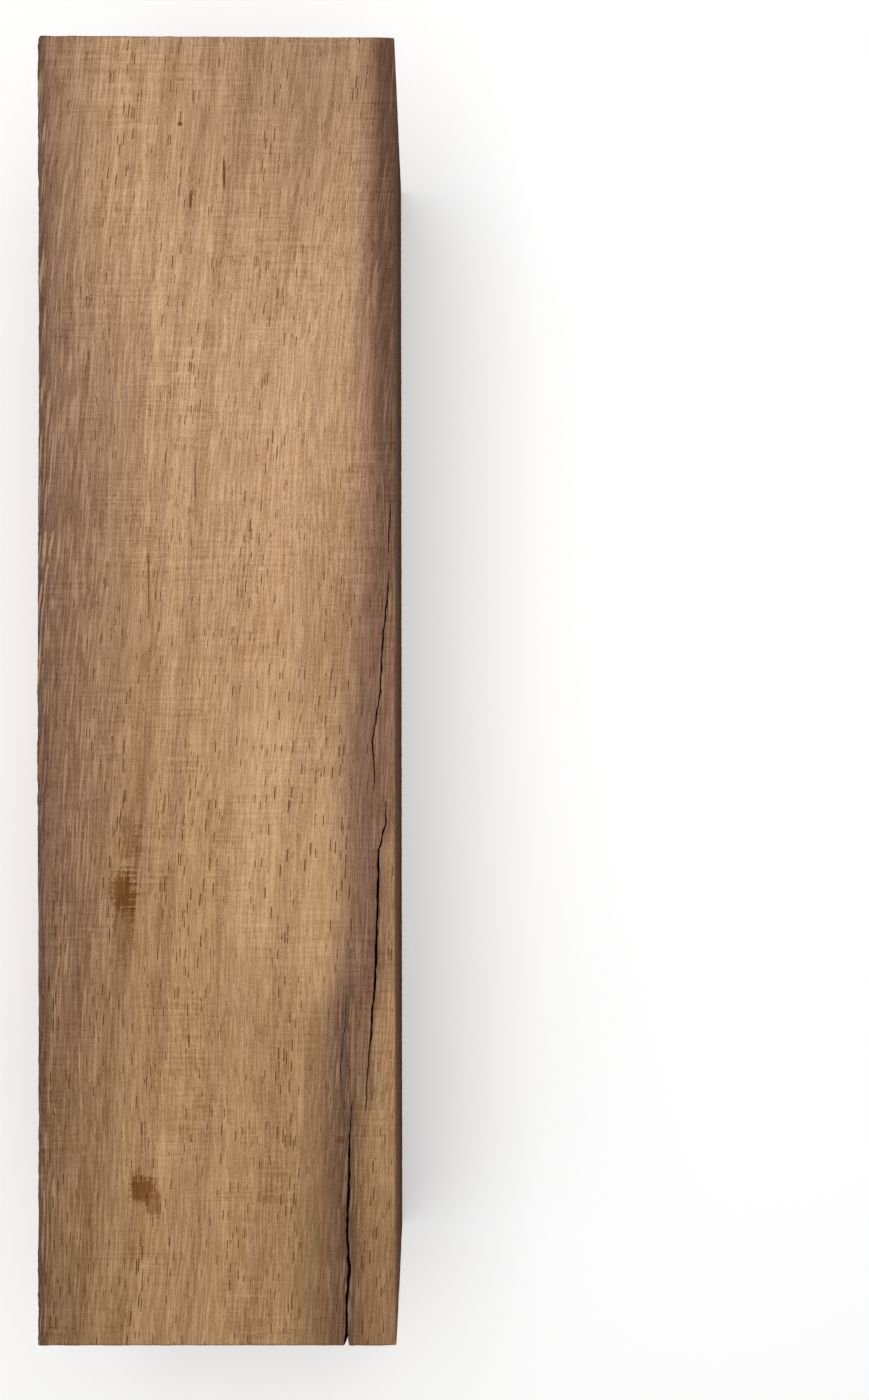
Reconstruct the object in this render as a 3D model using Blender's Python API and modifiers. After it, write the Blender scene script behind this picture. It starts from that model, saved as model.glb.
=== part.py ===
"""A rough-sawn hardwood scantling: one squared block of timber, lying on a face.

It is a single grown piece with nothing fixed to it. Its shape is the saw's: a long
square block, a little out of true, with worn and chipped arrises. It dried with a run
of checks, which opened one after another in the upper face near the right-hand side
and reached the near end. Metres, +Z up, +Y along the grain; the origin is the middle
of the base.
"""

import math

import bmesh
import bpy
from mathutils import Euler, Matrix, Vector

MM = 0.001

# The block as it left the saw, and how far it is out of true
LENGTH = 400 * MM
WIDTH = 110 * MM
HEIGHT = 110 * MM
FAR_END_NARROWER = 0.5 * MM
FAR_END_OUT_OF_SQUARE = 0.6 * MM
SAW_WANDER = 0.3 * MM
ARRIS = 0.5 * MM

# How finely the sawn faces are divided, so that they can follow the saw's wander
STATIONS_ALONG = 28
STATIONS_ACROSS = 6
STATIONS_UP = 6

# Lengths of the saw's slow waves along each sawn face, and where each wave starts
TOP_WAVE = 170 * MM
SIDE_WAVE = 230 * MM
LEFT_START = 0.4
RIGHT_START = -1.4

# The tree's pith lay outside the block. The checks opened along the wood's rays, so
# every one of them points down towards it.
PITH_ACROSS = 56 * MM
PITH_HEIGHT = -60 * MM
CUT_ABOVE = 2 * MM

# Each check: how deep it is, then its route on the upper face from the far tip to
# the near one, as (across, along, open) in millimetres. It is closed where open is 0.
CHECKS = {
    "short_check": (5, [(53.2, 59, 0), (52.8, 53, 0.5), (52.5, 46, 0.3), (52.3, 40.5, 0)]),
    "upper_check": (
        12,
        [
            (52.9, 38, 0),
            (52.2, 31, 0.45),
            (50.6, 16, 0.45),
            (49.8, 0, 0.5),
            (47.5, -15, 0.4),
            (48.1, -25, 0.4),
            (47.5, -34, 0),
        ],
    ),
    "middle_check": (
        18,
        [
            (51.6, -29, 0),
            (51.4, -41, 0.45),
            (49.4, -48, 0.65),
            (49.1, -63, 0.7),
            (48.0, -91, 0.7),
            (46.4, -112, 0.5),
            (45.3, -131, 0),
        ],
    ),
    "hairline_check": (4, [(39.7, -88, 0), (39.1, -101, 0.3), (37.9, -115, 0.3), (37.8, -122, 0)]),
    "end_check": (
        28,
        [
            (41.2, -125, 0),
            (40.4, -138, 0.6),
            (40.1, -155, 0.8),
            (39.6, -167, 0.7),
            (40.4, -177, 0.85),
            (39.7, -185, 0.75),
            (39.4, -198.4, 0.9),
            (39.4, -201, 2.2),
        ],
    ),
}

# Splinters torn off the arrises, as (side, level, along, length, bite), lengths in
# millimetres: side is -1 for left and 1 for right, level is 0 for base and 1 for top
CHIPS = [
    (-1, 1, 199.6, 5, 1.3),
    (-1, 1, -198.5, 14, 0.9),
    (1, 1, -199, 8, 1.0),
    (-1, 1, 121, 11, 0.7),
    (-1, 1, -74, 17, 0.8),
    (1, 0, 152, 19, 1.5),
    (1, 0, -88, 26, 1.2),
    (-1, 0, 61, 22, 1.4),
    (-1, 0, -171, 15, 1.1),
    (1, 0, -199.5, 9, 1.9),
]

WOOD_COLOUR = (0.42, 0.25, 0.145, 1)
WOOD_ROUGHNESS = 0.78


def empty_scene():
    for obj in list(bpy.data.objects):
        bpy.data.objects.remove(obj)


def collection(name):
    made = bpy.data.collections.new(name)
    bpy.context.scene.collection.children.link(made)
    return made


def wood():
    material = bpy.data.materials.new("hardwood")
    material.use_nodes = True
    shader = material.node_tree.nodes["Principled BSDF"]
    shader.inputs["Base Color"].default_value = WOOD_COLOUR
    shader.inputs["Roughness"].default_value = WOOD_ROUGHNESS
    shader.inputs["Metallic"].default_value = 0
    return material


def slice_across(bm, axis, start, size, count):
    """Divides the block into count even slices by planes square to one axis."""
    normal = Vector((axis == 0, axis == 1, axis == 2))
    for n in range(1, count):
        geometry = bm.verts[:] + bm.edges[:] + bm.faces[:]
        place = normal * (start + size * n / count)
        bmesh.ops.bisect_plane(bm, geom=geometry, plane_co=place, plane_no=normal)


def hollow(along, wave, start):
    """How far the saw ran inside a face's true plane: a slow wave, never outside it."""
    return SAW_WANDER * (0.5 - 0.5 * math.cos(math.tau * along / wave + start))


def out_of_true(point):
    """Where a point of a perfect block lies on the one that the saw left.

    The base and the near end stay flat: the sides and the top run in and out slowly
    above the base, the right side closes in towards the far end, and that end is cut
    a little out of square.
    """
    across, along, up = point
    to_right = across / WIDTH + 0.5
    to_far_end = along / LENGTH + 0.5
    height = up / HEIGHT
    left_inset = hollow(along, SIDE_WAVE, LEFT_START) * height
    right_inset = hollow(along, SIDE_WAVE, RIGHT_START) * height + FAR_END_NARROWER * to_far_end
    return (
        across + left_inset * (1 - to_right) - right_inset * to_right,
        along - FAR_END_OUT_OF_SQUARE * to_right * to_far_end,
        up - hollow(along, TOP_WAVE, 0) * height,
    )


def sawn_block(target):
    """The block: a box, divided, put out of true, with its arrises worn back."""
    bpy.ops.mesh.primitive_cube_add(size=1)
    block = bpy.context.object
    block.name = "scantling"
    bpy.context.collection.objects.unlink(block)
    target.objects.link(block)
    stand_up = Matrix.Translation((0, 0, HEIGHT / 2))
    block.data.transform(stand_up @ Matrix.Diagonal((WIDTH, LENGTH, HEIGHT, 1)))

    bm = bmesh.new()
    bm.from_mesh(block.data)
    slice_across(bm, 0, -WIDTH / 2, WIDTH, STATIONS_ACROSS)
    slice_across(bm, 1, -LENGTH / 2, LENGTH, STATIONS_ALONG)
    slice_across(bm, 2, 0, HEIGHT, STATIONS_UP)
    for vert in bm.verts:
        vert.co = out_of_true(vert.co)
    bm.to_mesh(block.data)
    bm.free()

    worn = block.modifiers.new("worn arrises", "BEVEL")
    worn.width = ARRIS
    worn.segments = 2
    worn.limit_method = "ANGLE"
    worn.angle_limit = math.radians(40)
    return block


def add_cutter(name, mesh, block, cutters):
    """Takes a closed shape out of the block."""
    cutter = bpy.data.objects.new(name, mesh)
    cutter.hide_render = True
    cutter.display_type = "WIRE"
    cutters.objects.link(cutter)
    cut = block.modifiers.new(name, "BOOLEAN")
    cut.operation = "DIFFERENCE"
    cut.solver = "EXACT"
    cut.object = cutter


def check_outline(name, route):
    """A check's opening in the upper face, as a flat closed curve about its route."""
    left = [(across - opened / 2, along) for across, along, opened in route]
    right = [(across + opened / 2, along) for across, along, opened in route if opened > 0]
    points = left + right[::-1]
    curve = bpy.data.curves.new(name, "CURVE")
    curve.dimensions = "2D"
    curve.fill_mode = "BOTH"
    spline = curve.splines.new("POLY")
    spline.points.add(len(points) - 1)
    for point, (across, along) in zip(spline.points, points):
        point.co = (across * MM, along * MM, 0, 1)
    spline.use_cyclic_u = True
    return curve


def check_mesh(name, depth, route):
    """A check as a closed slot, from just above the block down along the rays."""
    height = depth * MM + CUT_ABOVE
    curve = check_outline(name, route)
    curve.extrude = height / 2
    outline = bpy.data.objects.new(name, curve)
    bpy.context.scene.collection.objects.link(outline)
    outline.location.z = HEIGHT + CUT_ABOVE - height / 2
    graph = bpy.context.evaluated_depsgraph_get()
    graph.update()
    mesh = bpy.data.meshes.new_from_object(outline.evaluated_get(graph))
    mesh.transform(outline.matrix_world)
    bpy.data.objects.remove(outline)

    bm = bmesh.new()
    bm.from_mesh(mesh)
    bmesh.ops.remove_doubles(bm, verts=bm.verts, dist=MM / 1000)
    for vert in bm.verts:
        to_pith = (HEIGHT - vert.co.z) / (HEIGHT - PITH_HEIGHT)
        vert.co.x += (PITH_ACROSS - vert.co.x) * to_pith
    bmesh.ops.recalc_face_normals(bm, faces=bm.faces)
    bm.to_mesh(mesh)
    bm.free()
    return mesh


def chip_mesh(side, level, along, length, bite):
    """A torn splinter's hollow: a faceted spindle along an arris, turned at random."""
    bm = bmesh.new()
    bmesh.ops.create_icosphere(bm, subdivisions=1, radius=1)
    turned = Euler((along, length, bite)).to_matrix().to_4x4()
    stretched = Matrix.Diagonal((bite * MM, length * MM / 2, bite * MM, 1))
    on_arris = Matrix.Translation((side * WIDTH / 2, along * MM, level * HEIGHT))
    bm.transform(on_arris @ stretched @ turned)
    mesh = bpy.data.meshes.new("chip")
    bm.to_mesh(mesh)
    bm.free()
    return mesh


def main():
    empty_scene()
    parts = collection("hardwood_scantling")
    cutters = collection("cutters")
    block = sawn_block(parts)
    block.data.materials.append(wood())
    for name, (depth, route) in CHECKS.items():
        add_cutter(name, check_mesh(name, depth, route), block, cutters)
    for number, chip in enumerate(CHIPS):
        add_cutter(f"chip_{number}", chip_mesh(*chip), block, cutters)


main()
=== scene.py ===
import math

import bpy
import numpy as np
from mathutils.geometry import delaunay_2d_cdt
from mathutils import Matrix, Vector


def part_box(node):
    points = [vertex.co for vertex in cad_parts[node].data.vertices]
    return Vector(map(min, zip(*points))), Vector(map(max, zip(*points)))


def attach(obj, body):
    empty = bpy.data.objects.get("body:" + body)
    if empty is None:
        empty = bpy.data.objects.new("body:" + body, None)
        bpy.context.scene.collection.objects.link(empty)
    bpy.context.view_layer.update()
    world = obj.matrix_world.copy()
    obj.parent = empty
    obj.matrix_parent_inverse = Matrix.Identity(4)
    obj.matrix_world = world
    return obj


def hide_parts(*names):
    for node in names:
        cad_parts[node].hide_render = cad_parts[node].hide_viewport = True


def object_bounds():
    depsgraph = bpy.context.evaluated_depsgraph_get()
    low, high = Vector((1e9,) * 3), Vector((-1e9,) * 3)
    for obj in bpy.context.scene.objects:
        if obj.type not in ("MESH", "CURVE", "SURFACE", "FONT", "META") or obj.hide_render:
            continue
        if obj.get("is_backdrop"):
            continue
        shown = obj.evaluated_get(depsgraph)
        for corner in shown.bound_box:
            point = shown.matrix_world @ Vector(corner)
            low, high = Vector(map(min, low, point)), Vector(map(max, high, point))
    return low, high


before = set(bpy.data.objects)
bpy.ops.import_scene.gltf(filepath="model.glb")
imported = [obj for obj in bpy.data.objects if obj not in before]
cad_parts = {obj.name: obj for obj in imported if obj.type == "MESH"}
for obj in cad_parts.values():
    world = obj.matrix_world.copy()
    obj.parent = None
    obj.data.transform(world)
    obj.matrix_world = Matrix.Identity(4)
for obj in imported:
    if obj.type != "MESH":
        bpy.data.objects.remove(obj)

cad_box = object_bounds()


# The block. One squared length of hardwood, cut on four sides by a band saw and
# across both ends, then left to dry. The saw left slow waves and fine ribs across the
# grain, the arrises are worn and torn, and checks opened in the upper face.

MM = 0.001
low, high = (np.array(corner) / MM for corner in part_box("scantling"))
LENGTH = high[1] - low[1]
WIDTH = high[0] - low[0]
HEIGHT = high[2] - low[2]

# In millimetres from here on: how far out of true the saw left it, as in the frame,
# and how long its slow waves are and where each side's wave starts, in radians
FAR_END_NARROWER = 0.5
FAR_END_OUT_OF_SQUARE = 0.6
SAW_WANDER = 0.3
TOP_WAVE = 170
SIDE_WAVE = 230
LEFT_START = 0.4
RIGHT_START = -1.4

# The skin lies this far inside the frame's faces, so that its ribs stay in the box,
# and its long arrises and its ends' arrises are rounded this much
SKIN = 0.12
ARRIS = 0.6
END_ARRIS = 0.35

# How the skin is divided: stations along the block, close together by both ends, and
# points round each station, close together by the arrises
STATION_STEP = 0.83
CLEAR_OF_END = np.array([0, 0.08, 0.2, 0.42])
FIRST_EVEN_STATION = 1
CLEAR_OF_ARRIS = np.array([0, 0.5, 1.2, 2.4])
SIDE_POINTS = 20
BASE_POINTS = 18
TOP_POINTS = 34
BETWEEN_CHECKS = 4
RIGHT_OF_CHECKS = np.array([0.5, 1])
ARRIS_TURNS = np.array([0.25, 0.5, 0.75])

# The pith lay below the block. The growth layers lie round it, and the checks opened
# down the rays, towards it.
PITH_ACROSS = 56
PITH_HEIGHT = -60
LAYER_WIDTH = 4.6

# Two lines of checks. Each check: its depth, then its route on the upper face from
# the far tip to the near one, as (along, across, open).
INNER_CHECKS = [
    (4, [(-88, 39.7, 0), (-101, 39.1, 0.3), (-115, 37.9, 0.3), (-122, 37.8, 0)]),
    (
        28,
        [
            (-125, 41.2, 0),
            (-138, 40.4, 0.6),
            (-155, 40.1, 0.8),
            (-167, 39.6, 0.7),
            (-177, 40.4, 0.85),
            (-185, 39.7, 0.75),
            (-197.8, 39.4, 0.9),
            (-200, 39.4, 1.7),
        ],
    ),
]
OUTER_CHECKS = [
    (
        5,
        [
            (200, 49.5, 0),
            (66, 52.8, 0),
            (59, 53.0, 0),
            (53, 52.8, 0.5),
            (46, 52.5, 0.3),
            (40.5, 52.3, 0),
        ],
    ),
    (
        12,
        [
            (38, 52.6, 0),
            (31, 52.2, 0.45),
            (16, 50.6, 0.45),
            (0, 49.8, 0.5),
            (-15, 47.5, 0.4),
            (-25, 48.1, 0.4),
            (-31, 47.8, 0),
        ],
    ),
    (
        18,
        [
            (-32, 51.6, 0),
            (-41, 51.4, 0.45),
            (-48, 49.4, 0.65),
            (-63, 49.1, 0.7),
            (-91, 48.0, 0.7),
            (-112, 46.4, 0.5),
            (-131, 45.3, 0),
        ],
    ),
]

# The draws that make each line's lips ragged start from these seeds
INNER_SEED = 31
OUTER_SEED = 41

# The line that all the checks follow, as (along, across), from the near end
LINE_OF_CHECKS = [
    (-200, 39.4),
    (-100, 40.6),
    (-86, 47.4),
    (-63, 49.1),
    (-25, 48.3),
    (16, 50.6),
    (40, 52.6),
    (70, 55.2),
    (200, 57),
]

# Splinters torn off the arrises: (side, level, along, length, bite), where side is -1
# for left and 1 for right, and level is 0 for base and 1 for top
CHIPS = [
    (-1, 1, 199.6, 5, 1.3),
    (-1, 1, -198.5, 14, 0.9),
    (1, 1, -199, 8, 1.0),
    (-1, 1, 121, 11, 0.7),
    (-1, 1, -74, 17, 0.8),
    (1, 0, 152, 19, 1.5),
    (1, 0, -88, 26, 1.2),
    (-1, 0, 61, 22, 1.4),
    (-1, 0, -171, 15, 1.1),
    (1, 0, -199.5, 9, 1.9),
]


def ease(value, start, end):
    """0 up to start, 1 from end, and a smooth S between them."""
    share = np.clip((value - start) / (end - start), 0, 1)
    return share * share * (3 - 2 * share)


# How many random heights there are along each side of the lattice before it repeats
LATTICE = 512


def roughness(u, v, seed):
    """Smooth random heights from -1 to 1.

    Seeded numbers stand on a square lattice of side 1, and between four of them the
    height eases from one to the next.
    """
    lattice = np.random.default_rng(seed).uniform(-1, 1, (LATTICE, LATTICE))
    column, row = np.floor(u).astype(int), np.floor(v).astype(int)
    s, t = ease(u - column, 0, 1), ease(v - row, 0, 1)

    def heights_on(line):
        """Heights between two neighbours on one line of the lattice."""
        before = lattice[column % LATTICE, line % LATTICE]
        after = lattice[(column + 1) % LATTICE, line % LATTICE]
        return before * (1 - s) + after * s

    return heights_on(row) * (1 - t) + heights_on(row + 1) * t


def hollow(along, wave, start):
    """A slow cosine wave from 0 to the saw's wander."""
    return SAW_WANDER * (0.5 - 0.5 * np.cos(math.tau * along / wave + start))


def check_line(checks, along, seed):
    """A line of checks as (across, open, depth) at each place along the block.

    Across and open run straight between the points of each route, and between two
    checks the line is closed. A fine random wander keeps the lips from being smooth.
    """
    points = np.array([point for _, route in checks for point in route])
    points = points[np.argsort(points[:, 0])]
    across = np.interp(along, points[:, 0], points[:, 1])
    opened = np.interp(along, points[:, 0], points[:, 2], left=points[0, 2], right=0)
    depth = np.zeros_like(along)
    for deep, route in checks:
        depth[(along <= route[0][0]) & (along >= route[-1][0])] = deep
    row = 0 * along
    wander = 0.16 * roughness(along / 3.1, row, seed) + 0.1 * roughness(along / 1.1, row, seed + 1)
    ragged = 1 + 0.35 * roughness(along / 1.7, row, seed + 2)
    return across + wander * ease(opened, 0, 0.3), opened * ragged, depth * ease(opened, 0, 0.35)


# A check across its width: each point's place on the flat skin while it is closed,
# its place as a share of the opening, how far it stands clear of the lip, and how
# deep it goes as a share of the check's depth
SLOT_CLOSED = 0.1 * np.arange(-5, 6)
SLOT_OPEN = np.array([-0.5, -0.5, -0.5, -0.42, -0.2, 0, 0.2, 0.42, 0.5, 0.5, 0.5])
SLOT_CLEAR = np.array([-0.3, -0.12, 0, 0, 0, 0, 0, 0, 0, 0.12, 0.3])
SLOT_DEPTH = np.array([0, 0, 0.006, 0.06, 0.5, 1, 0.5, 0.06, 0.006, 0, 0])


def slot(line, top):
    """The skin's points across a line of checks: flat places, places, heights, depths.

    Each point eases from its flat place to its place in the open slot as the check
    opens, and a deep point moves along the ray, towards the pith.
    """
    across, opened, depth = (part[:, None] for part in line)
    openness = ease(opened, 0, 0.25)
    wide = opened * SLOT_OPEN + SLOT_CLEAR
    flat = across + SLOT_CLOSED * (1 - openness) + wide * openness
    deep = depth * SLOT_DEPTH * openness
    lean = (PITH_ACROSS - across) * deep / (HEIGHT - PITH_HEIGHT)
    return flat, flat + lean, top[:, None] - deep, deep


def even(size, count):
    """Shares from 0 to 1 across a face of this size: close by each arris, else even."""
    middle = np.linspace(CLEAR_OF_ARRIS[-1], size - CLEAR_OF_ARRIS[-1], count)
    start, end = CLEAR_OF_ARRIS[:-1], size - CLEAR_OF_ARRIS[:-1]
    return np.concatenate([start, middle, end[::-1]]) / size


def saw_ribs(girth, along):
    """The band saw's marks: ribs across the grain, in two pitches that drift and fade."""
    slant = along + 0.035 * girth + 1.4 * roughness(girth / 60, along / 45, 11)
    coarse = np.sin(math.tau * slant / 2.55 + 2 * roughness(girth / 90, along / 12, 12))
    slow = np.sin(math.tau * slant / 7.9 + 2 * roughness(girth / 70, along / 30, 13))
    patch = 0.6 + 0.4 * roughness(girth / 35, along / 22, 14)
    return patch * (0.6 * coarse + 0.4 * slow)


def torn_grain(girth, along):
    """Low ridges and furrows along the grain, and a few places where it was plucked."""
    broad = roughness(girth / 4.5, along / 55, 21)
    fine = roughness(girth / 1.9, along / 14, 22)
    pluck = roughness(girth / 3.3, along / 5, 23)
    return 0.035 * broad + 0.03 * fine - 0.16 * ease(pluck, 0.62, 0.95)


def top_across(along, top, start, end):
    """The upper face's points from arris to arris, with both lines of checks in it.

    Up to the inner line they stand as on the left half of a face that is twice as
    wide, and between the lines and right of them evenly. Returns their flat places,
    places, heights and depths in a check.
    """
    inner = slot(check_line(INNER_CHECKS, along, INNER_SEED), top)
    outer = slot(check_line(OUTER_CHECKS, along, OUTER_SEED), top)
    inner_left, inner_right = inner[0][:, :1], inner[0][:, -1:]
    outer_left, outer_right = outer[0][:, :1], outer[0][:, -1:]
    shares = even(2 * WIDTH, 2 * TOP_POINTS)[:TOP_POINTS + len(CLEAR_OF_ARRIS) - 1]
    shares = shares / shares[-1] * (1 - 1 / TOP_POINTS)
    gap_shares = np.arange(1, BETWEEN_CHECKS + 1) / (BETWEEN_CHECKS + 1)

    def plain(places):
        """Wood with no check in it, at the height of the top."""
        return places, places, top[:, None] + 0 * places, np.zeros_like(places)

    parts = [
        plain(start + shares * (inner_left - start)),
        inner,
        plain(inner_right + gap_shares * (outer_left - inner_right)),
        outer,
        plain(outer_right + RIGHT_OF_CHECKS * (end - outer_right)),
    ]
    return [np.hstack(columns) for columns in zip(*parts)]


# How high the saw's ribs stand on the left, top, right and base faces, and the middle
# of each face on the way round the girth, which starts at the left face's foot
RIBS = (0.09, 0.045, 0.06, 0.08)
FACE_SIZES = np.array([HEIGHT, WIDTH, HEIGHT, WIDTH])
CORNERS = np.cumsum(FACE_SIZES)
FACE_MIDDLES = CORNERS - FACE_SIZES / 2

# How far the arrises' wear reaches from full to none, how deep it is, how much of it
# comes and goes, and the most that the skin may be set back
WEAR_REACH = (0.3, 1.7)
WEAR = 0.1
CRUMBLED_WEAR = 0.11
DEEPEST_WEAR = 0.8 * ARRIS


def wear(x, y, z, girth, left, right):
    """How far the skin stands out from the true faces, or in where it is below 0.

    It is the saw's ribs and the torn grain, less the wear of the arrises, which fades
    with the distance from them, less a quarter circle's fall by both ends.
    """
    stands = np.interp(girth, FACE_MIDDLES, RIBS) * saw_ribs(girth, y) + torn_grain(girth, y)
    to_side = np.minimum(np.abs(x - left), np.abs(x - right))
    to_level = np.minimum(z, HEIGHT - z)
    near_arris = 1 - ease(np.hypot(to_side, to_level), *WEAR_REACH)
    crumbled = roughness(y / 1.5, girth / 9, 51) + roughness(y / 4.2, girth / 9, 52)
    stands = stands - near_arris * (WEAR + CRUMBLED_WEAR * crumbled)
    round_over = np.clip(END_ARRIS - (LENGTH / 2 - np.abs(y)), 0, END_ARRIS)
    stands = stands - (END_ARRIS - np.sqrt(END_ARRIS**2 - round_over**2))
    return np.maximum(stands, -DEEPEST_WEAR)


def tear_arrises(x, y, z, girth):
    """Pushes the skin back, where a splinter is gone, to a rough spindle's surface.

    The spindle's radius is its bite times the root of 1 less the square of the place
    along it, from -1 to 1, and each point moves straight away from the arris.
    """
    for side, level, place, length, bite in CHIPS:
        corner_x, corner_z = side * WIDTH / 2, level * HEIGHT
        along_chip = np.clip(1 - ((y - place) / (length / 2)) ** 2, 0, 1)
        reach = bite * np.sqrt(along_chip) * (1 + 0.25 * roughness(y / 1.3, girth / 0.8, 61))
        away = np.hypot(x - corner_x, z - corner_z)
        push = np.maximum(1, reach / np.maximum(away, 0.01))
        x, z = corner_x + (x - corner_x) * push, corner_z + (z - corner_z) * push
    return x, z


# How ragged the ends' arrises are, and how far from the end that reaches
END_RAGGED = 0.09
END_RAGGED_REACH = 0.6


def block_skin():
    """The four sawn faces as a grid of points: stations along, points round each.

    The points run up the left face, over the top, down the right face and back under
    the base, with three on a quarter circle at each arris. They are then moved along
    their outward direction by the wear, and the torn arrises are pushed back. Returns
    places, depths in a check and places round the girth.
    """
    half = LENGTH / 2
    even_half = half - FIRST_EVEN_STATION
    inner = np.linspace(-even_half, even_half, round(2 * even_half / STATION_STEP) + 1)
    along = np.concatenate([CLEAR_OF_END - half, inner, (half - CLEAR_OF_END)[::-1]])

    # The true faces, in from the frame's by the skin, as heights and as places across
    top = HEIGHT - SKIN - hollow(along, TOP_WAVE, 0)
    bottom = np.full_like(along, SKIN)
    narrower = (FAR_END_NARROWER * (along / LENGTH + 0.5))[:, None]
    edge = WIDTH / 2 - SKIN
    tall = (top - bottom - 2 * ARRIS)[:, None]
    side_z = (bottom + ARRIS)[:, None] + even(HEIGHT, SIDE_POINTS) * tall
    left = -edge + hollow(along, SIDE_WAVE, LEFT_START)[:, None] * side_z / HEIGHT
    right = edge - narrower - hollow(along, SIDE_WAVE, RIGHT_START)[:, None] * side_z / HEIGHT
    start, end = left[:, -1:] + ARRIS, right[:, -1:] - ARRIS
    flat_x, top_x, top_z, top_deep = top_across(along, top, start, end)
    base_start, base_end = right[:, :1] - ARRIS, left[:, :1] + ARRIS
    base_x = base_start + even(WIDTH, BASE_POINTS) * (base_end - base_start)
    base_z = bottom[:, None] + 0 * base_x

    def face(x, z, out_x, out_z, girth, deep=0):
        """Points with their outward direction, place round the girth and depth."""
        blank = np.zeros_like(x)
        return x, z, out_x + blank, out_z + blank, girth + blank, deep + blank

    def arris(centre_x, centre_z, first, girth):
        """A quarter circle, clockwise from the first angle, about a centre."""
        angle = first - ARRIS_TURNS * math.pi / 2
        out_x, out_z = np.cos(angle), np.sin(angle)
        places = girth + ARRIS * (2 * ARRIS_TURNS - 1)
        return face(centre_x + ARRIS * out_x, centre_z + ARRIS * out_z, out_x, out_z, places)

    high_z, low_z = top[:, None] - ARRIS, bottom[:, None] + ARRIS
    parts = [
        face(left, side_z, -1, 0, side_z),
        arris(start, high_z, math.pi, CORNERS[0]),
        face(top_x, top_z, 0, 1, CORNERS[0] + WIDTH / 2 + flat_x, top_deep),
        arris(end, high_z, math.pi / 2, CORNERS[1]),
        face(right[:, ::-1], side_z[:, ::-1], 1, 0, CORNERS[2] - side_z[:, ::-1]),
        arris(base_start, low_z, 0, CORNERS[2]),
        face(base_x, base_z, 0, -1, CORNERS[2] + WIDTH / 2 - base_x),
        arris(base_end, low_z, -math.pi / 2, CORNERS[3]),
    ]
    x, z, out_x, out_z, girth, deep = (np.hstack(columns) for columns in zip(*parts))
    y = along[:, None] + 0 * x

    move = wear(x, y, z, girth, left[:, -1:], right[:, -1:]) * (1 - ease(deep, 0, 0.6))
    x, z = tear_arrises(x + out_x * move, y, z + out_z * move, girth)

    # The far end is a little out of square, and both ends' arrises are ragged
    to_right, to_far_end = x / WIDTH + 0.5, y / LENGTH + 0.5
    by_end = 1 - ease(half - np.abs(y), 0, END_RAGGED_REACH)
    ragged = END_RAGGED * (1 + roughness(girth / 1.6, y * 0, 71)) * by_end
    y = y - np.sign(y) * ragged - FAR_END_OUT_OF_SQUARE * to_right * to_far_end
    return np.clip(np.stack([x, y, z], axis=-1), low, high), deep, girth


# The net of points on an end: its step, how far inside the block it starts and stops,
# across and up, how far its points are shaken, and how far they keep off the rim and
# the check
END_STEP = 1.25
NET_STARTS = (1.6, 1.4)
NET_STOPS = (2.2, 1.6)
NET_SHAKEN = 0.3
OFF_RIM = 0.7
OFF_CHECK = 0.5

# The crosscut saw's scratches: the centre of their arcs, and their pitch
SWING_ACROSS = -190
SWING_HEIGHT = 260
SCRATCH_PITCH = 3.4

# What Blender's triangulation is asked: only what is inside the rim, and how close
# two points have to be to count as one
INSIDE_RIM = 1
SAME_POINT = 1e-7


def end_face(rim, outward, check):
    """A sawn end: a net of points inside the rim, and its triangles.

    The net is square, shaken by a seeded draw, and left open round the check. Its
    depth is the crosscut saw's scratches in shallow arcs, the growth layers standing
    a little proud, and torn pores. Returns the new points and the triangles, which
    count the rim's points first.
    """
    draw = np.random.default_rng(81)
    across = np.arange(low[0] + NET_STARTS[0], high[0] - NET_STOPS[0], END_STEP)
    up = np.arange(low[2] + NET_STARTS[1], high[2] - NET_STOPS[1], END_STEP)
    x, z = (net.ravel() for net in np.meshgrid(across, up))
    x = x + draw.uniform(-NET_SHAKEN, NET_SHAKEN, x.size)
    z = z + draw.uniform(-NET_SHAKEN, NET_SHAKEN, z.size)
    check_x, opened, check_depth = (float(part[0]) for part in check)
    ray = check_x + (PITH_ACROSS - check_x) * (HEIGHT - z) / (HEIGHT - PITH_HEIGHT)
    in_check = (z > HEIGHT - check_depth - 1) & (np.abs(x - ray) < opened / 2 + OFF_CHECK)
    from_rim = np.hypot(rim[:, :1] - x, rim[:, 2:] - z).min(axis=0)
    clear = (from_rim > OFF_RIM) & ~in_check
    x, z = x[clear], z[clear]
    flat = np.vstack([rim[:, [0, 2]], np.stack([x, z], axis=-1)])
    rim_order = list(range(len(rim)))
    net = delaunay_2d_cdt(flat.tolist(), [], [rim_order], INSIDE_RIM, SAME_POINT)
    came_from = np.array([sources[0] for sources in net[3]])
    triangles = came_from[np.array(net[2])]

    radius = np.hypot(x - PITH_ACROSS, z - PITH_HEIGHT)
    swing = np.hypot(x - SWING_ACROSS, z - SWING_HEIGHT)
    scratch_turn = math.tau * swing / SCRATCH_PITCH + 1.5 * roughness(x / 15, z / 15, 82)
    layer_turn = math.tau * radius / LAYER_WIDTH + roughness(x / 20, z / 20, 83)
    scratch, layers = 0.5 + 0.5 * np.sin(scratch_turn), 0.5 + 0.5 * np.sin(layer_turn)
    torn = ease(roughness(x / 2.1, z / 2.1, 84), 0.4, 0.9)
    depth = 0.05 * scratch + 0.05 * layers + 0.14 * torn + 0.05
    y = outward * (LENGTH / 2 - depth)
    if outward > 0:
        y = y - FAR_END_OUT_OF_SQUARE * (x / WIDTH + 0.5)
    return np.stack([x, y, z], axis=-1), triangles


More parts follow.
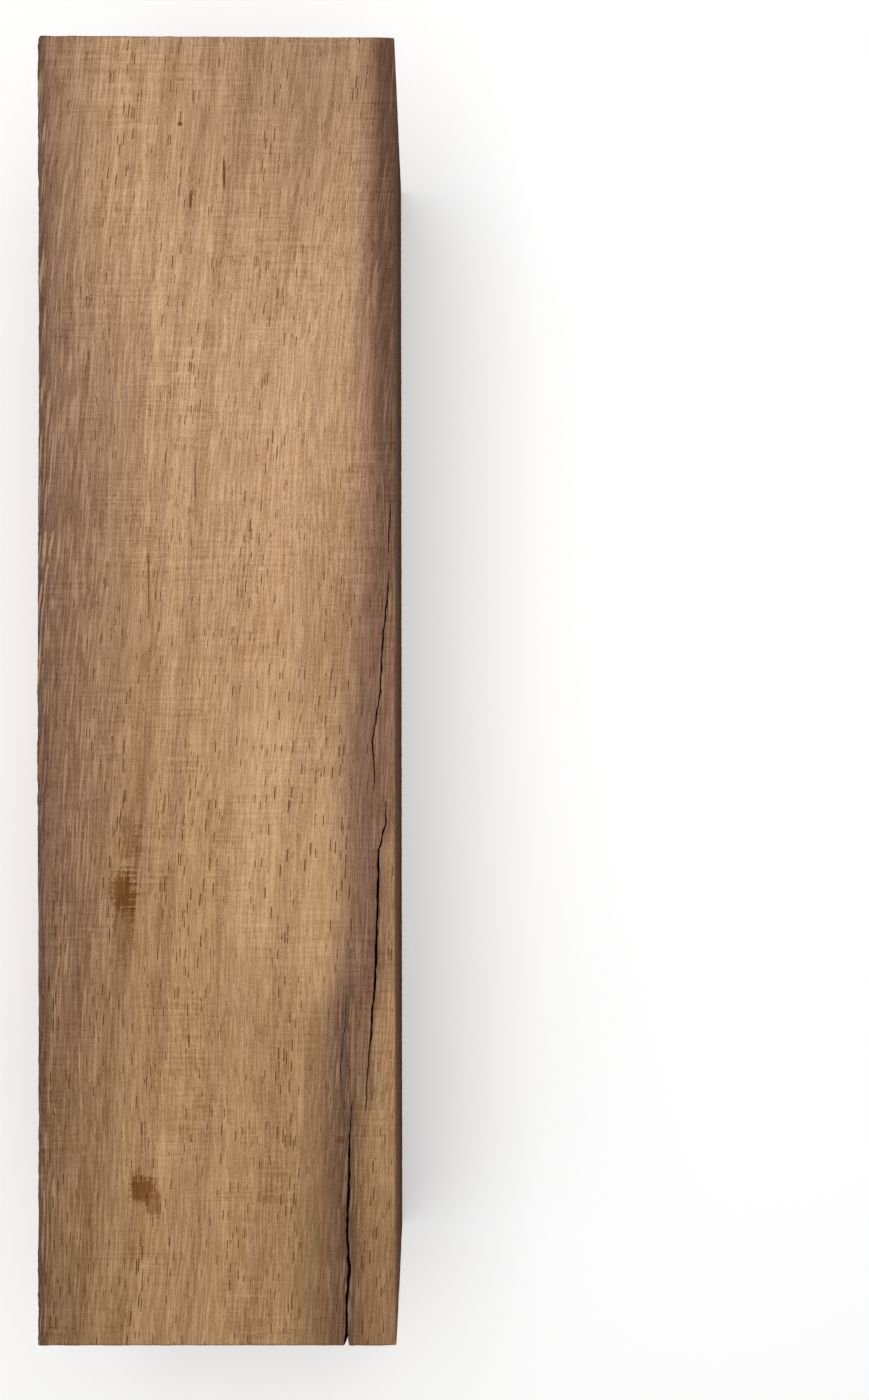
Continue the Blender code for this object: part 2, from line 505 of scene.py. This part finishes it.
# The block's map: how much of its height the four long faces take, from just above
# its foot, and the two ends over them, as left edges, foot, width and height
LONG_FACES_MAP = 0.78
MAP_FOOT = 0.003
NEAR_END_MAP = 0.005
FAR_END_MAP = 0.515
ENDS_MAP_FOOT = 0.79
ENDS_MAP_SIZE = (0.48, 0.2)

# An edge that turns by more degrees than this stays sharp
SHARP_ANGLE = 55


def block_mesh(name):
    """The whole skin as one closed mesh: the sawn faces' grid and the two ends' nets.

    Its map lays the four long faces side by side and both ends over them. Two
    attributes go with it, in millimetres: how deep a point lies in a check, and how
    far to the right of the line of checks it lies.
    """
    grid, deep, girth = block_skin()
    rows, columns = deep.shape
    near_check, far_check = (
        check_line(INNER_CHECKS, np.array([end * LENGTH / 2]), INNER_SEED) for end in (-1, 1)
    )
    near, near_faces = end_face(grid[0], -1, near_check)
    far, far_faces = end_face(grid[-1], 1, far_check)
    count = rows * columns
    points = np.vstack([grid.reshape(-1, 3), near, far])
    ids = np.arange(count).reshape(rows, columns)
    near_ids = np.concatenate([ids[0], count + np.arange(len(near))])
    far_ids = np.concatenate([ids[-1], count + len(near) + np.arange(len(far))])
    beside = np.roll(ids, -1, axis=1)
    quads = np.stack([ids[:-1], beside[:-1], beside[1:], ids[1:]], axis=-1).reshape(-1, 4)
    ends = np.vstack([near_ids[near_faces], far_ids[far_faces][:, ::-1]])
    corners = np.concatenate([quads.ravel(), ends.ravel()])
    sizes = np.concatenate([np.full(len(quads), 4), np.full(len(ends), 3)])

    mesh = bpy.data.meshes.new(name)
    mesh.vertices.add(len(points))
    mesh.loops.add(len(corners))
    mesh.polygons.add(len(sizes))
    mesh.vertices.foreach_set("co", (points * MM).ravel())
    mesh.loops.foreach_set("vertex_index", corners)
    mesh.polygons.foreach_set("loop_start", np.cumsum(sizes) - sizes)
    mesh.update(calc_edges=True)
    in_end = np.arange(len(sizes)) >= len(quads)
    mesh.polygons.foreach_set("material_index", in_end.astype(int))
    mesh.shade_smooth()
    mesh.set_sharp_from_angle(angle=math.radians(SHARP_ANGLE))

    # The map: places round the girth and along the block, then the two ends
    whole = 2 * (WIDTH + HEIGHT)
    around = np.stack([girth, np.roll(girth, -1, axis=1)], axis=-1)
    around[:, -1, 1] += whole
    u = around[:-1][:, :, [0, 1, 1, 0]].reshape(-1) / (whole + 2)
    v = (points[quads.ravel(), 1] / LENGTH + 0.5) * LONG_FACES_MAP + MAP_FOOT
    end_x, end_y, end_z = points[ends.ravel()].T
    end_u = ENDS_MAP_SIZE[0] * (end_x / WIDTH + 0.5)
    end_u = end_u + np.where(end_y > 0, FAR_END_MAP, NEAR_END_MAP)
    end_v = ENDS_MAP_FOOT + ENDS_MAP_SIZE[1] * end_z / HEIGHT
    layout = np.stack([np.concatenate([u, end_u]), np.concatenate([v, end_v])], axis=-1)
    mesh.uv_layers.new(name="OFBake").data.foreach_set("uv", layout.ravel())

    along_line, across_line = np.array(LINE_OF_CHECKS).T
    attributes = {
        "in_check": np.concatenate([deep.ravel(), np.zeros(len(near) + len(far))]),
        "past_check": points[:, 0] - np.interp(points[:, 1], along_line, across_line),
    }
    for label, values in attributes.items():
        mesh.attributes.new(label, "FLOAT", "POINT").data.foreach_set("value", values)
    return mesh


scantling = bpy.data.objects.new("sawn_block", block_mesh("sawn_block"))
bpy.context.collection.objects.link(scantling)
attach(scantling, "root")
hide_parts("scantling")


# The wood. A dry, unfinished brown hardwood: layers that cross the faces at a slant,
# pale lines and dark pores along the fibres, and arcs on the ends. The pattern is a
# solid one about the pith, so that the faces meet at the arrises.

# Colours in linear light. The upper face is tan at the far end and olive at the near
# one, and where it is weathered it is grey-brown, or umber at the near end.
TAN = (0.420, 0.258, 0.145, 1)
OLIVE = (0.345, 0.203, 0.098, 1)
WEATHERED = (0.165, 0.088, 0.056, 1)
UMBER = (0.155, 0.084, 0.042, 1)
REDDISH = (0.29, 0.155, 0.090, 1)
# The right-hand face's colour: aged wood, darkened further as painted shade
SHADED_AGED_SIDE = (0.098, 0.055, 0.037, 1)
END_GRAIN = (0.20, 0.115, 0.062, 1)
PALE_LINE = (0.54, 0.345, 0.21, 1)
PORE = (0.085, 0.030, 0.008, 1)
# Near black: painted shade inside the checks and the ends' splits, and at the right-hand face's
# foot
DEEP_SHADE = (0.040, 0.013, 0.009, 1)
DRY_FIBRE = 0.82

# What is paler than its surroundings is also greyer, and what is darker is redder.
# Gum and the mauve tinge of some bands multiply the wood's own colour.
PALER = (0.82, 1.02, 1.3)
GUM_STAINED = (0.44, 0.28, 0.12)
MAUVE_TINGE = (0.92, 0.895, 0.94)

# The pith leans across the block as it goes along it; one layer's edge shows as a
# line on the upper face, at this distance from the pith. The fibres lean the same
# way, by this much for each millimetre along, and more and more so.
PITH_LEAN = 0.1
LAYER_EDGE = 180.5
LEAN_OF_FIBRES = 0.055
BEND_OF_FIBRES = 0.0001


def wire(tree, value, socket):
    """Gives a socket a value, or another node's output."""
    if isinstance(value, bpy.types.NodeSocket):
        tree.links.new(value, socket)
    else:
        socket.default_value = value


def node(tree, kind, inputs, **settings):
    """Adds a node, sets it up, and fills its inputs, which go by name or number."""
    made = tree.nodes.new(kind)
    for name, value in settings.items():
        setattr(made, name, value)
    for name, value in inputs.items():
        wire(tree, value, made.inputs[name])
    return made


def maths(tree, operation, *values):
    """One step of arithmetic on numbers."""
    return node(tree, "ShaderNodeMath", dict(enumerate(values)), operation=operation).outputs[0]


def add(tree, amount, *parts):
    """A sum: the first amount, and each part times its weight."""
    for part, weight in parts:
        amount = maths(tree, "MULTIPLY_ADD", part, weight, amount)
    return amount


def both(tree, *shares):
    """The product of all the shares."""
    product = shares[0]
    for share in shares[1:]:
        product = maths(tree, "MULTIPLY", product, share)
    return product


def largest(tree, *shares):
    """The largest of all the shares."""
    most = shares[0]
    for share in shares[1:]:
        most = maths(tree, "MAXIMUM", most, share)
    return most


def distance(tree, value, place):
    """How far a value is from a place, to either side of it."""
    return maths(tree, "ABSOLUTE", maths(tree, "SUBTRACT", value, place))


def vectors(tree, operation, first, second):
    """One step of arithmetic on two vectors."""
    made = node(tree, "ShaderNodeVectorMath", {0: first, 1: second}, operation=operation)
    return made.outputs["Vector"]


def length(tree, vector):
    """A vector's length."""
    return node(tree, "ShaderNodeVectorMath", {0: vector}, operation="LENGTH").outputs["Value"]


def rise(tree, value, start, end, before=0, after=1):
    """A smooth step: before while value is under start, after once it passes end."""
    steps = {"Value": value, "From Min": start, "From Max": end, "To Min": before, "To Max": after}
    return node(tree, "ShaderNodeMapRange", steps, interpolation_type="SMOOTHSTEP").outputs[0]


def noise(tree, place, size, start, detail=0.0):
    """A noise drawn out to this size in millimetres, from about -0.5 to 0.5."""
    scale = tuple(1 / side for side in size)
    moved = {"Vector": place, "Location": (start, start * 1.7, start * 2.3), "Scale": scale}
    placed = node(tree, "ShaderNodeMapping", moved).outputs[0]
    made = node(tree, "ShaderNodeTexNoise", {"Vector": placed, "Scale": 1, "Detail": detail})
    return maths(tree, "SUBTRACT", made.outputs[0], 0.5)


def blend(tree, share, under, over):
    """One colour laid over another, as thick as the share."""
    return node(tree, "ShaderNodeMix", {0: share, 6: under, 7: over}, data_type="RGBA").outputs[2]


def scaled(tree, vector, factor):
    """A vector times a number."""
    inputs = {0: vector, "Scale": factor}
    return node(tree, "ShaderNodeVectorMath", inputs, operation="SCALE").outputs["Vector"]


def toned(tree, colour, change):
    """A colour made paler or darker: its red, green and blue each times 1 plus a change."""
    factors = {0: scaled(tree, PALER, change), 1: (1, 1, 1)}
    factors = node(tree, "ShaderNodeVectorMath", factors, operation="ADD").outputs[0]
    return vectors(tree, "MULTIPLY", colour, factors)


# Inputs and outputs of the effects that are vectors; all the others are numbers
VECTORS = ("Place", "Fibre", "Centre", "Size")


def effect(name, takes, gives):
    """A node group with named inputs and outputs: the group, its inputs, its outputs."""
    tree = bpy.data.node_groups.new(name, "ShaderNodeTree")
    for direction, labels in (("INPUT", takes), ("OUTPUT", gives)):
        for label in labels:
            kind = "NodeSocketVector" if label in VECTORS else "NodeSocketFloat"
            tree.interface.new_socket(label, in_out=direction, socket_type=kind)
    return tree, tree.nodes.new("NodeGroupInput").outputs, tree.nodes.new("NodeGroupOutput").inputs


def use(tree, group, **inputs):
    """Places an effect's group in a tree, and gives its outputs."""
    return node(tree, "ShaderNodeGroup", inputs, node_tree=group).outputs


def fibre_course():
    """Where a point lies among the fibres, which lean and wander about the block's axis.

    The place across is slid back by the lean times the place along, by the bend times
    its square, and then by a broad and a fine noise, so that a fibre keeps one place
    across all its length.
    """
    tree, takes, gives = effect("fibre_course", ["Place", "Lean"], ["Fibre"])
    place = takes["Place"]
    across, along, up = node(tree, "ShaderNodeSeparateXYZ", {0: place}).outputs
    broad = noise(tree, place, (46, 120, 46), 3)
    fine = noise(tree, place, (5, 13, 5), 5, 1)
    lean = add(tree, takes["Lean"], (along, BEND_OF_FIBRES))
    across = maths(tree, "SUBTRACT", across, both(tree, along, lean))
    across = add(tree, across, (broad, 8.0), (fine, 0.7))
    up = add(tree, up, (broad, 6.0), (fine, 0.5))
    fibre = node(tree, "ShaderNodeCombineXYZ", {0: across, 1: along, 2: up}).outputs[0]
    wire(tree, fibre, gives["Fibre"])
    return tree


def fibre_lines():
    """Streaks along the fibres, fine flecks, and pale thread-like lines.

    All of them are noises drawn out along the fibres. The pale lines are the tops of
    a narrow one, where a broader one is high too.
    """
    tree, takes, gives = effect("fibre_lines", ["Fibre"], ["Streak", "Fleck", "Pale"])
    fibre = takes["Fibre"]
    broad = noise(tree, fibre, (2.6, 260, 2.6), 11)
    narrow = noise(tree, fibre, (0.95, 95, 0.95), 13)
    wire(tree, add(tree, 0.0, (broad, 0.35), (narrow, 0.6)), gives["Streak"])
    fine = rise(tree, noise(tree, fibre, (0.34, 11, 0.34), 17), -0.12, 0.12, -1, 1)
    wire(tree, fine, gives["Fleck"])
    thread = rise(tree, noise(tree, fibre, (0.55, 14, 0.55), 19), 0.09, 0.17)
    wire(tree, both(tree, thread, rise(tree, broad, -0.2, 0.15, 0.3)), gives["Pale"])
    return tree


def pores():
    """Vessels: long narrow cells scattered along the fibres, seen as dashes or dots.

    A point is in a pore where it lies nearer than the radius to a scattered point, in
    a space that is squeezed to make the cells this size. The larger of its distances
    along and across counts, so a pore keeps its width. A random number for each cell
    makes its pore larger, smaller or next to nothing.
    """
    tree, takes, gives = effect("pores", ["Fibre", "Size", "Radius"], ["Pore"])
    squeezed = vectors(tree, "DIVIDE", takes["Fibre"], takes["Size"])
    cells = {"Vector": squeezed, "Scale": 1}
    cells = node(tree, "ShaderNodeTexVoronoi", cells, distance="CHEBYCHEV").outputs
    chance = node(tree, "ShaderNodeSeparateXYZ", {0: cells["Color"]}).outputs[0]
    radius = both(tree, takes["Radius"], rise(tree, chance, 0, 0.75, 0.1, 1.15))
    from_middle = maths(tree, "DIVIDE", cells["Distance"], radius)
    wire(tree, rise(tree, from_middle, 0.75, 1.1, 1, 0), gives["Pore"])
    return tree


def growth_layers():
    """Growth layers about the leaning pith: dark just outside each edge, then paler.

    The layer is worked out from the distance to the pith, divided by a layer's width,
    of which the whole part is dropped; a noise of that distance varies it.
    """
    tree, takes, gives = effect("growth_layers", ["Place"], ["Layer", "Radius", "Angle"])
    across, along, up = node(tree, "ShaderNodeSeparateXYZ", {0: takes["Place"]}).outputs
    aside = maths(tree, "SUBTRACT", add(tree, across, (along, -PITH_LEAN)), PITH_ACROSS)
    above = maths(tree, "SUBTRACT", up, PITH_HEIGHT)
    flat = node(tree, "ShaderNodeCombineXYZ", {0: aside, 1: above}).outputs[0]
    uneven = noise(tree, takes["Place"], (60, 260, 60), 23)
    radius = add(tree, length(tree, flat), (uneven, 5.0))
    wire(tree, radius, gives["Radius"])
    wire(tree, maths(tree, "ARCTAN2", aside, above), gives["Angle"])
    from_edge = maths(tree, "SUBTRACT", radius, LAYER_EDGE)
    phase = maths(tree, "FRACT", maths(tree, "DIVIDE", from_edge, LAYER_WIDTH))
    late = both(tree, rise(tree, phase, 0, 0.05), rise(tree, phase, 0.04, 0.7, 1, 0))
    ring = node(tree, "ShaderNodeCombineXYZ", {0: radius}).outputs[0]
    varied = noise(tree, ring, (0.85, 1, 1), 29, 1)
    wire(tree, add(tree, 0.0, (late, -0.5), (varied, 1.0)), gives["Layer"])
    return tree


def saw_marks():
    """Fine marks across the grain from the band saw, in patches: two noises, added."""
    tree, takes, gives = effect("saw_marks", ["Place"], ["Mark"])
    ribs = noise(tree, takes["Place"], (20, 0.55, 20), 31)
    lines = noise(tree, takes["Place"], (9, 1.15, 9), 37)
    patch = rise(tree, noise(tree, takes["Place"], (19, 24, 19), 41), -0.12, 0.16, 0.15)
    wire(tree, both(tree, maths(tree, "ADD", ribs, lines), patch), gives["Mark"])
    return tree


def blot():
    """A soft ragged blot: 1 in the middle of a rounded box of this half size, 0 outside.

    The distance is the fourth root of the sum of the fourth powers.
    """
    tree, takes, gives = effect("blot", ["Place", "Centre", "Size", "Ragged"], ["Mask"])
    away = vectors(tree, "SUBTRACT", takes["Place"], takes["Centre"])
    away = vectors(tree, "DIVIDE", away, takes["Size"])
    from_centre = maths(tree, "SQRT", length(tree, vectors(tree, "MULTIPLY", away, away)))
    from_centre = maths(tree, "ADD", from_centre, takes["Ragged"])
    wire(tree, rise(tree, from_centre, 0.6, 1.3, 1, 0), gives["Mask"])
    return tree


FIBRE_COURSE = fibre_course()
FIBRE_LINES = fibre_lines()
PORES = pores()
GROWTH_LAYERS = growth_layers()
SAW_MARKS = saw_marks()
BLOT = blot()

# Marks on the upper face, as (across, along, half width, half length, strength): gum
# that bled out of the wood, with faint tails, then small knots and dark streaks, then
# a broad patch of paler wood. All of them reach this far down from the upper face.
MARKS_REACH = 6
GUM_STAINS = [
    (-28.8, -62.0, 3.5, 7.2, 0.9),
    (-29.0, -73, 3.2, 9.5, 0.34),
    (-26.6, -46, 3.2, 6.5, 0.4),
    (-22.4, -152.4, 3.9, 3.9, 0.86),
    (-19.6, -156, 2.3, 4.2, 0.7),
]
DARK_MARKS = [
    (-11.2, 172.8, 0.75, 0.6, 1.0),
    (-20.2, 164.5, 1.6, 2.6, 0.25),
    (37.9, -137, 1.2, 1.1, 0.8),
    (-6.6, 64, 0.28, 7, 0.8),
    (-20.8, 32, 0.25, 11, 0.8),
    (2.2, 158, 0.42, 4.5, 1.0),
    (-8.0, 149.5, 0.4, 2.6, 1.0),
    (53.2, 78, 0.3, 7, 0.8),
]
PALE_PATCHES = [(21, -48, 19, 46, 1.0)]


def place_and_fibre(tree):
    """What both surfaces start from: the place in millimetres, and the fibres there."""
    place = node(tree, "ShaderNodeTexCoord", {}).outputs["Object"]
    place = scaled(tree, place, 1 / MM)
    return place, use(tree, FIBRE_COURSE, Place=place, Lean=LEAN_OF_FIBRES)["Fibre"]


def marks(tree, place, listed, ragged):
    """All the blots of one list on the upper face, as one mask."""
    spots = []
    for across, along, half_width, half_length, strength in listed:
        centre = (across, along, HEIGHT)
        size = (half_width, half_length, MARKS_REACH)
        spot = use(tree, BLOT, Place=place, Centre=centre, Size=size, Ragged=ragged)["Mask"]
        spots.append(both(tree, spot, strength))
    return largest(tree, *spots)


def new_material(name):
    """Dry wood with no gloss: the material, its tree and its shader."""
    material = bpy.data.materials.new(name)
    material.use_nodes = True
    shader = material.node_tree.nodes["Principled BSDF"]
    shader.inputs["Roughness"].default_value = DRY_FIBRE
    shader.inputs["Specular IOR Level"].default_value = 0
    return material, material.node_tree, shader


def relief(tree, shader, height):
    """Stands the surface out by a height in millimetres."""
    bump = node(tree, "ShaderNodeBump", {"Height": height, "Distance": MM, "Strength": 1})
    wire(tree, bump.outputs[0], shader.inputs["Normal"])


# The near check's place across, and that of the near tip of the line outside it
NEAR_CHECK = 39.4
OUTER_TIP = 44.6


def weathering(tree, across, along, past_check, wander):
    """How grey-brown the upper face is: by its left side alone, and everywhere.

    Each zone is a smooth step across its edges times one along the block, between
    places in millimetres from the block's middle, and the largest zone counts. The
    wander moves the zones' edges.
    """
    # By the left side, in a band that narrows towards both ends
    ends_at = rise(tree, along, 70, 150, -2, -20)
    ends_at = maths(tree, "ADD", ends_at, rise(tree, along, -90, -150, 0, -12))
    by_left = rise(tree, maths(tree, "ADD", across, wander), -65, ends_at, 1, 0)
    by_left = both(tree, by_left, rise(tree, along, 40, 230, 0.98, 0.85))

    # On both sides of the line of checks, where the right-hand side pales soonest
    starts_at = rise(tree, along, -100, -190, -18, -24)
    dark_from = rise(tree, along, 50, 90, -2.2, -5)
    by_checks = rise(tree, add(tree, past_check, (wander, 0.5)), starts_at, dark_from)
    pales_at = rise(tree, along, -36, -50, 12, 3)
    pales_at = maths(tree, "ADD", pales_at, rise(tree, along, -75, -95, 0, 7))
    paled = rise(tree, along, -80, -100, 0.48, 0.3)
    paled = maths(tree, "ADD", paled, rise(tree, along, -145, -180, 0, 0.25))
    by_checks = both(tree, by_checks, rise(tree, past_check, 0.3, pales_at, 1, paled))

    # Round the near tip of the outer line, and faintly over the far end
    from_tip = distance(tree, across, OUTER_TIP)
    by_tip = both(tree, rise(tree, from_tip, 2.2, 5.2, 0.9, 0), rise(tree, along, -72, -92))
    by_tip = both(tree, by_tip, rise(tree, along, -145, -118))
    far = both(tree, rise(tree, along, 90, 190, 0, 0.36), rise(tree, across, -40, 30, 0.15))
    return by_left, largest(tree, by_left, by_checks, by_tip, far)


def upper_face(tree, across, along, weathered):
    """The upper face's colour before its grain, darkest along its edges, as painted shade."""
    colour = blend(tree, rise(tree, along, 100, -75), TAN, OLIVE)
    grey_brown = blend(tree, rise(tree, along, -60, -170), WEATHERED, UMBER)
    colour = blend(tree, weathered, colour, grey_brown)
    from_check = distance(tree, across, NEAR_CHECK)
    by_check = both(tree, rise(tree, from_check, 0.8, 4.4, 1.15, 0), rise(tree, along, -62, -110))
    by_right = both(tree, rise(tree, across, 46, 52.5), rise(tree, along, 5, 80))
    # Painted shade by the left edge, and darker bands by the near check and the right edge
    darkest = largest(tree, by_check, by_right, rise(tree, across, -50, -53.5))
    colour = blend(tree, both(tree, darkest, 0.62), colour, SHADED_AGED_SIDE)
    # Painted shade along the arrises
    on_side_arris = rise(tree, maths(tree, "ABSOLUTE", across), 53.9, 54.7)
    on_end_arris = rise(tree, maths(tree, "ABSOLUTE", along), 199.2, 199.8)
    arris = largest(tree, on_side_arris, on_end_arris)
    return blend(tree, both(tree, arris, 0.6), colour, SHADED_AGED_SIDE)


def other_faces(tree, across, up, patches, layer, streak):
    """The other faces' colour before its grain: redder, and on the right dark with age and painted
    shade.

    The right-hand face is darker still towards its foot, as painted shade.
    """
    redness = rise(tree, add(tree, patches, (layer, 0.5)), -0.3, 0.25, 0.25, 1)
    colour = blend(tree, redness, TAN, REDDISH)
    on_right = rise(tree, across, 50, 53.5)
    aged_and_shaded = rise(tree, add(tree, patches, (streak, 0.6)), -0.25, 0.3, 0.98, 0.8)
    # The right-hand face is aged wood, darkened further as painted shade
    colour = blend(tree, both(tree, on_right, aged_and_shaded), colour, SHADED_AGED_SIDE)
    # Painted shade, darker towards the right-hand face's foot
    foot_shade = both(tree, on_right, rise(tree, up, 98, 20, 0, 0.75))
    return blend(tree, foot_shade, colour, DEEP_SHADE)


def sawn_face_material():
    """The four long faces: first the slow changes of colour, then what is fine."""
    material, tree, shader = new_material("sawn_hardwood")
    place, fibre = place_and_fibre(tree)
    across, along, up = node(tree, "ShaderNodeSeparateXYZ", {0: place}).outputs
    in_check = node(tree, "ShaderNodeAttribute", {}, attribute_name="in_check").outputs["Fac"]
    past_check = node(tree, "ShaderNodeAttribute", {}, attribute_name="past_check").outputs["Fac"]
    layer = use(tree, GROWTH_LAYERS, Place=place)["Layer"]
    lines = use(tree, FIBRE_LINES, Fibre=fibre)
    streak, fleck = lines["Streak"], lines["Fleck"]
    saw = use(tree, SAW_MARKS, Place=place)["Mark"]
    patches = noise(tree, fibre, (10, 130, 10), 47, 1)
    mottle = noise(tree, place, (0.45, 0.6, 0.45), 59)

    by_left, weathered = weathering(tree, across, along, past_check, both(tree, patches, 10.0))
    on_top = rise(tree, up, HEIGHT - 3, HEIGHT - 0.8)
    top = upper_face(tree, across, along, weathered)
    side = other_faces(tree, across, up, patches, layer, streak)
    colour = blend(tree, on_top, side, top)

    # Layers, streaks, flecks and saw marks, each with how much paler it makes the wood,
    # then pale threads and pores. The upper face's saw marks are fainter, and its pores
    # are smaller and fainter towards the far end.
    sawn = both(tree, saw, add(tree, 0.55, (on_top, -0.23)))
    tone = add(
        tree, 0.0, (layer, 0.2), (streak, 0.2), (fleck, 0.17),
        (patches, 0.05), (mottle, 0.55), (sawn, 1.0),
        (marks(tree, place, PALE_PATCHES, 0.0), 0.2),
    )
    colour = toned(tree, colour, tone)
    greyer = rise(tree, add(tree, patches, (layer, 0.6)), 0.04, -0.22, 0, 0.7)
    colour = blend(tree, greyer, colour, vectors(tree, "MULTIPLY", colour, MAUVE_TINGE))
    pale = both(tree, lines["Pale"], largest(tree, 0.2, both(tree, by_left, 0.5)))
    colour = blend(tree, pale, colour, PALE_LINE)
    crowded = both(tree, add(tree, 0.16, (patches, 0.35)), rise(tree, along, 10, 110, 1, 0.93))
    pore = use(tree, PORES, Fibre=fibre, Size=(0.78, 8.5, 0.78), Radius=crowded)["Pore"]
    pore = both(tree, pore, rise(tree, along, 10, 110, 0.88, 0.8))
    colour = blend(tree, pore, colour, PORE)

    # Gum, knots and streaks, and painted shade inside the checks
    ragged = add(tree, 0.0, (fleck, 0.06), (saw, 0.95), (streak, 0.9), (mottle, 0.5))
    gum = marks(tree, place, GUM_STAINS, ragged)
    colour = blend(tree, gum, colour, vectors(tree, "MULTIPLY", colour, GUM_STAINED))
    dark = marks(tree, place, DARK_MARKS, both(tree, ragged, 0.5))
    colour = blend(tree, both(tree, dark, 0.85), colour, PORE)
    colour = blend(tree, rise(tree, in_check, 0.02, 1.2), colour, DEEP_SHADE)
    wire(tree, colour, shader.inputs["Base Color"])
    wire(tree, add(tree, DRY_FIBRE, (fleck, -0.03), (gum, -0.2)), shader.inputs["Roughness"])
    relief(tree, shader, both(tree, fleck, 0.03))
    return material


# An angle about the pith counts, for the rays, as its arc this far from the pith
RAY_RADIUS = 160.0


def end_grain_material():
    """The sawn ends: layers in arcs, rays and splits towards the pith, pores end on."""
    material, tree, shader = new_material("end_grain")
    place, fibre = place_and_fibre(tree)
    rings = use(tree, GROWTH_LAYERS, Place=place)
    lines = use(tree, FIBRE_LINES, Fibre=fibre)
    dots = use(tree, PORES, Fibre=fibre, Size=(0.95, 20, 0.95), Radius=0.27)["Pore"]
    turned = both(tree, rings["Angle"], RAY_RADIUS)
    polar = node(tree, "ShaderNodeCombineXYZ", {0: turned, 1: rings["Radius"]}).outputs[0]
    rays = noise(tree, polar, (0.6, 9, 1), 61)
    split = rise(tree, noise(tree, polar, (2.2, 17, 1), 67), 0.26, 0.33)
    patches = noise(tree, place, (30, 300, 22), 71, 2)
    scratch = noise(tree, place, (17, 300, 0.6), 73, 1)

    colour = blend(tree, rise(tree, patches, -0.2, 0.2), END_GRAIN, REDDISH)
    tone = add(
        tree, 0.0, (rings["Layer"], 0.75), (rays, 0.5), (patches, 0.5),
        (scratch, 0.35), (lines["Streak"], 0.5), (lines["Fleck"], 0.05),
    )
    colour = toned(tree, colour, tone)
    colour = blend(tree, both(tree, dots, 0.62), colour, PORE)
    # The splits are painted dark, as shade inside them
    colour = blend(tree, both(tree, split, 0.85), colour, DEEP_SHADE)
    wire(tree, colour, shader.inputs["Base Color"])
    relief(tree, shader, add(tree, 0.0, (dots, -0.1), (split, -0.25), (scratch, 0.14)))
    return material


scantling.data.materials.append(sawn_face_material())
scantling.data.materials.append(end_grain_material())


# The studio. A plain pale floor, one large soft lamp above the block, and an even pale
# surround. The camera looks straight down from over the block's right-hand side, as
# the photograph was taken.

# In metres here. The floor is just under the base, and gives a little light itself.
FLOOR_SIZE = 30
FLOOR_LEVEL = -0.0002
FLOOR_COLOUR = (0.92, 0.92, 0.92, 1)
FLOOR_ROUGHNESS = 0.9
FLOOR_GLOW = 0.09
LAMP_SHARE = 0.78
LAMP_SIZE = 0.4
LAMP_PLACE = (0.035, 0.045, 0.56)
SURROUND = 0.72
WHITE = (1, 1, 1, 1)

bpy.ops.mesh.primitive_plane_add(size=FLOOR_SIZE, location=(0, 0, FLOOR_LEVEL))
floor = bpy.context.object
floor.name = "floor"
floor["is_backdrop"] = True
floor_material = bpy.data.materials.new("floor")
floor_material.use_nodes = True
floor_shader = floor_material.node_tree.nodes["Principled BSDF"]
floor_shader.inputs["Base Color"].default_value = FLOOR_COLOUR
floor_shader.inputs["Roughness"].default_value = FLOOR_ROUGHNESS
floor_shader.inputs["Emission Color"].default_value = WHITE
floor_shader.inputs["Emission Strength"].default_value = FLOOR_GLOW
floor.data.materials.append(floor_material)

# A small lamp that has, in watts, the square of pi times its height lights white wood
# under it to a brightness of 1; this one gives a share of that to the upper face
lamp = bpy.data.objects.new("lamp", bpy.data.lights.new("lamp", "AREA"))
lamp.data.energy = LAMP_SHARE * (math.pi * (LAMP_PLACE[2] - HEIGHT * MM)) ** 2
lamp.data.size = LAMP_SIZE
lamp.location = LAMP_PLACE
lamp.visible_camera = False
bpy.context.collection.objects.link(lamp)

world = bpy.data.worlds.new("surround")
bpy.context.scene.world = world
world.use_nodes = True
background = world.node_tree.nodes["Background"]
background.inputs["Color"].default_value = WHITE
background.inputs["Strength"].default_value = SURROUND
bpy.context.scene.view_settings.view_transform = "Standard"

# The photograph's frame, 869 by 1400 pixels. It shows a millimetre of the upper face
# as 3.28 pixels, with the block's middle at this pixel and the lens over this one. The
# camera is this many millimetres above that face.
PHOTO_HEIGHT = 1400
PHOTO_WIDTH = 869
PIXELS_PER_MM = 3.28
BLOCK_PIXEL = (216.7, 690.5)
LENS_PIXEL = (424, 765)
CAMERA_CLEAR = 412.5
SENSOR = 36

camera = bpy.data.objects.new("camera", bpy.data.cameras.new("camera"))
lens_across = (LENS_PIXEL[0] - BLOCK_PIXEL[0]) / PIXELS_PER_MM
lens_along = (BLOCK_PIXEL[1] - LENS_PIXEL[1]) / PIXELS_PER_MM
camera.location = (lens_across * MM, lens_along * MM, (HEIGHT + CAMERA_CLEAR) * MM)
camera.data.sensor_fit = "VERTICAL"
camera.data.sensor_height = SENSOR
camera.data.lens = SENSOR * PIXELS_PER_MM * CAMERA_CLEAR / PHOTO_HEIGHT
camera.data.shift_x = (PHOTO_WIDTH / 2 - LENS_PIXEL[0]) / PHOTO_HEIGHT
camera.data.shift_y = (LENS_PIXEL[1] - PHOTO_HEIGHT / 2) / PHOTO_HEIGHT
camera.data.clip_start = 0.01
bpy.context.collection.objects.link(camera)
bpy.context.scene.camera = camera

boxes = {"cad": cad_box, "visual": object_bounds()}
boxes = {name: [list(corner) for corner in box] for name, box in boxes.items()}
